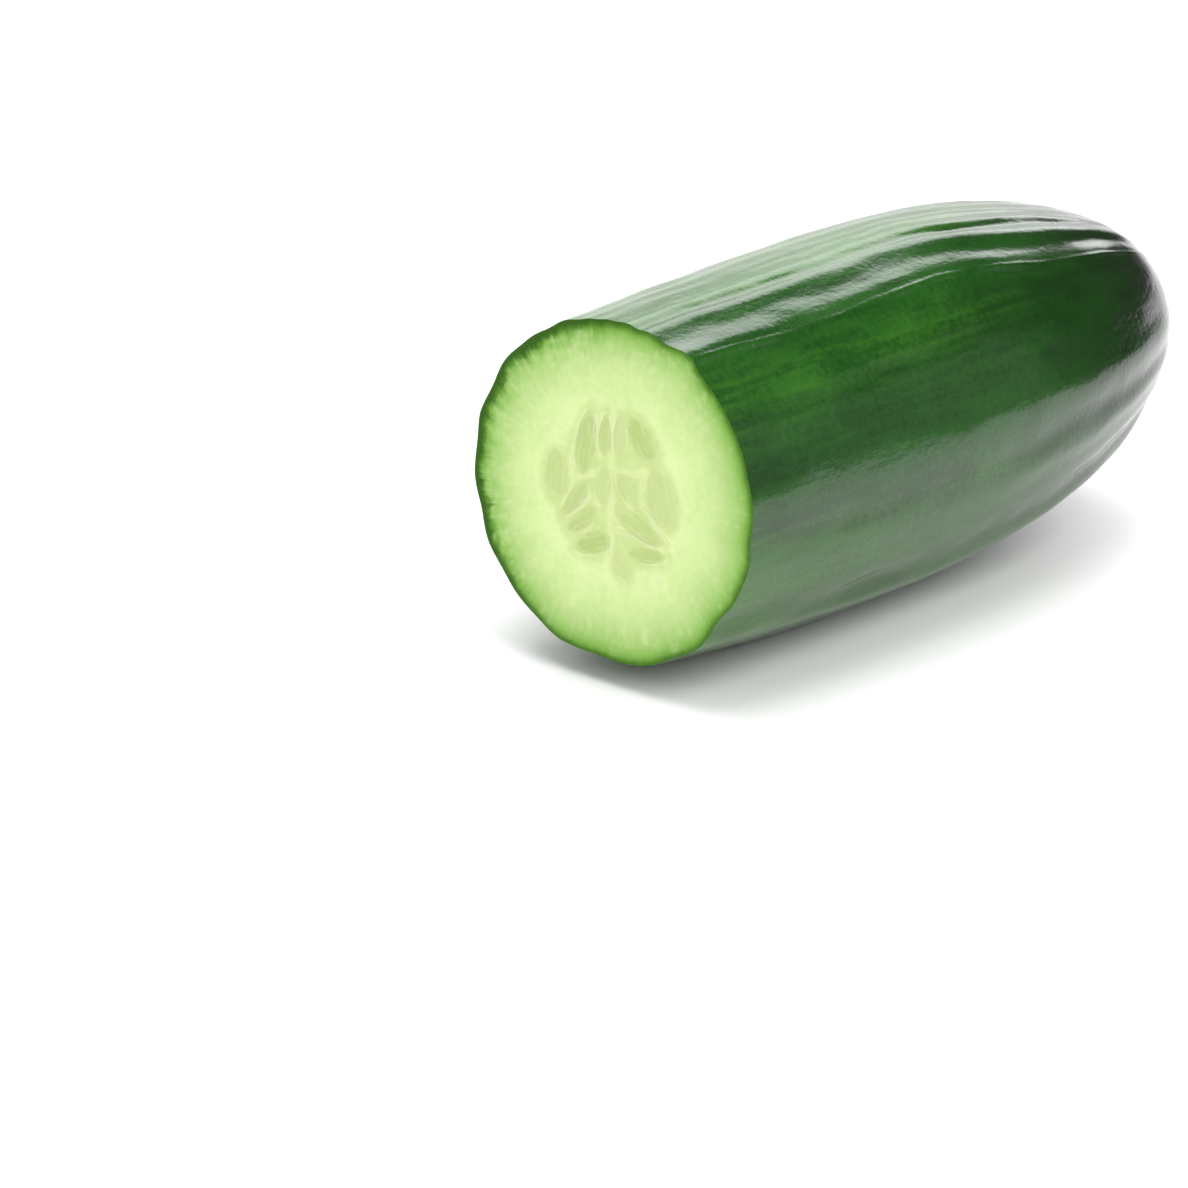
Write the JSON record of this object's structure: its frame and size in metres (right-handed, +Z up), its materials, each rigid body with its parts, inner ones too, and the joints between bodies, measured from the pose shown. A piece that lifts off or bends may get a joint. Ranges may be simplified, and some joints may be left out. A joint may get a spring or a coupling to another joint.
{
  "type": "cucumber",
  "caption": "End piece of a dark green slicing cucumber lying on its side, with a flat cut face showing pale flesh and a seed core.",
  "frame": {"origin": "middle of the bounding box's underside, on the surface that the piece lies on", "axes": "+Y along the fruit, from the cut face to the blossom end; +Z up; +X to the right when looking at the rounded end from the cut end"},
  "size_m": [0.0508, 0.1116, 0.0494],
  "materials": {
    "cucumber": "waxy gloss"
  },
  "bodies": {
    "root": {"cucumber": "cucumber"}
  },
  "joints": []
}
